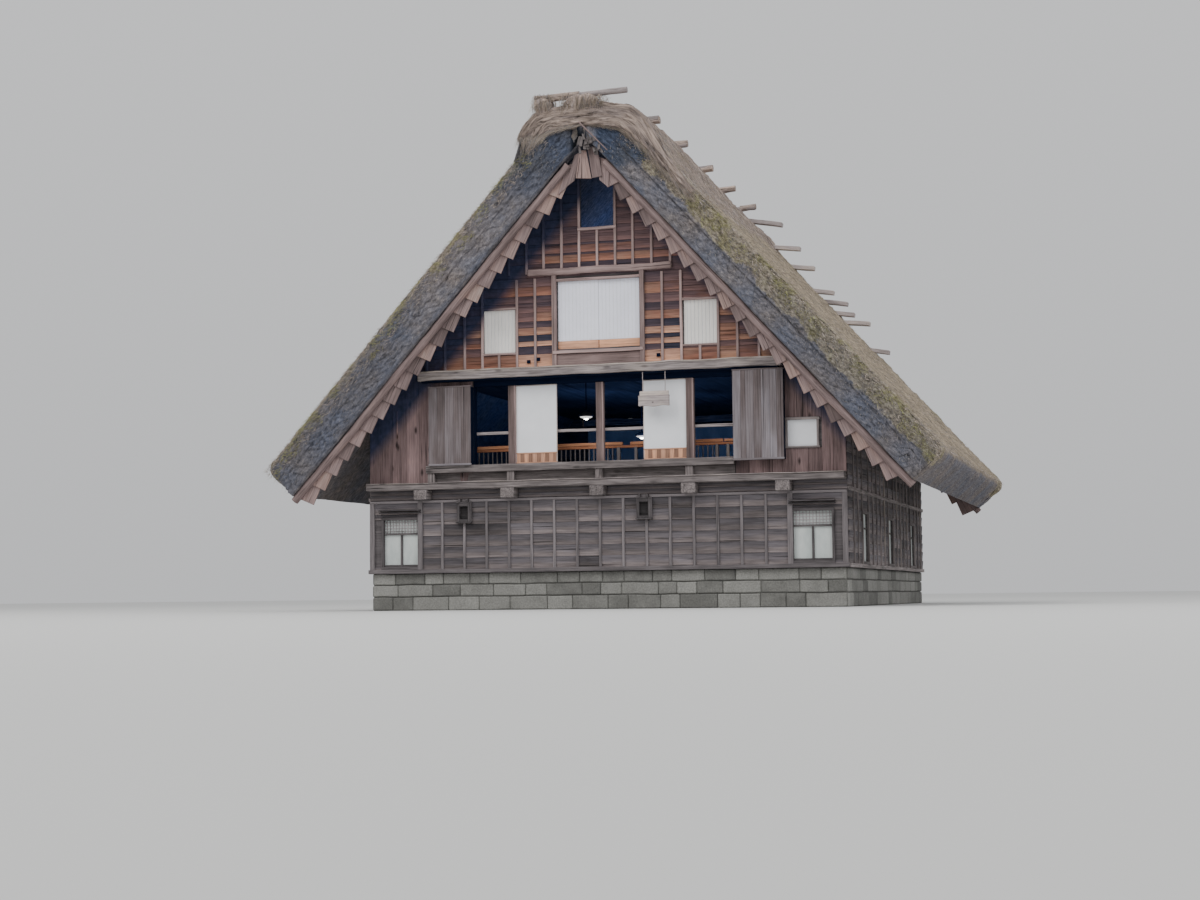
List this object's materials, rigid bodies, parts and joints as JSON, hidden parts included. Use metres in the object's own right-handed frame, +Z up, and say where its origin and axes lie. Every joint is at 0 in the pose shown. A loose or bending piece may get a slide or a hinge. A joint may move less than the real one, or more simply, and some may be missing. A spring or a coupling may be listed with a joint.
{
  "type": "minka farmhouse",
  "caption": "Steep thatched farmhouse with a board gable in four storeys, open window bays, a straw ridge and a stone footing.",
  "frame": {"origin": "on the ground under the middle of the house", "axes": "+X to the right along the front gable, +Y from the front gable to the rear one, +Z up"},
  "size_m": [14.7066, 14, 10.91],
  "materials": {
    "stone": "matte",
    "old_wood": "matte",
    "red_wood": "matte",
    "grey_wood": "matte",
    "orange_wood": "matte",
    "roof_wood": "matte",
    "paper_panel": "matte",
    "window_glass": "satin",
    "thatch": "matte",
    "straw": "matte"
  },
  "bodies": {
    "root": {"stone_footing": "stone", "ground_floor": "old_wood", "second_floor": "old_wood", "third_floor": "old_wood", "attic_floor": "old_wood", "left_side_wall": "old_wood", "left_side_windows": "window_glass", "right_side_wall": "old_wood", "right_side_windows": "window_glass", "front_skirt_beam": "grey_wood", "front_third_wall": "red_wood", "front_attic_wall": "red_wood", "front_loft_beam": "grey_wood", "front_left_verge": "roof_wood", "front_right_verge": "roof_wood", "front_ground_wall": "old_wood", "front_left_ground_window": "window_glass", "front_right_ground_window": "window_glass", "front_sill_and_posts": "grey_wood", "second_left_wall": "red_wood", "second_right_wall": "red_wood", "second_right_window": "paper_panel", "left_shutter_box": "grey_wood", "right_shutter_box": "grey_wood", "left_sliding_panel": "paper_panel", "right_sliding_panel": "paper_panel", "front_railing": "orange_wood", "front_head_beam": "grey_wood", "third_front_window": "paper_panel", "third_left_window": "paper_panel", "third_right_window": "paper_panel", "alarm_board": "grey_wood", "rear_skirt_beam": "grey_wood", "rear_third_wall": "red_wood", "rear_attic_wall": "red_wood", "rear_loft_beam": "grey_wood", "rear_left_verge": "roof_wood", "rear_right_verge": "roof_wood", "rear_ground_wall": "old_wood", "rear_ground_windows": "window_glass", "second_rear_wall": "red_wood", "second_rear_windows": "paper_panel", "rear_head_beam": "grey_wood", "third_rear_windows": "paper_panel", "left_thatch": "thatch", "right_thatch": "thatch", "ridge_saddle": "straw", "ridge_log_1": "roof_wood", "ridge_log_2": "roof_wood", "ridge_log_3": "roof_wood", "ridge_log_4": "roof_wood", "ridge_log_5": "roof_wood", "ridge_log_6": "roof_wood"}
  },
  "joints": []
}
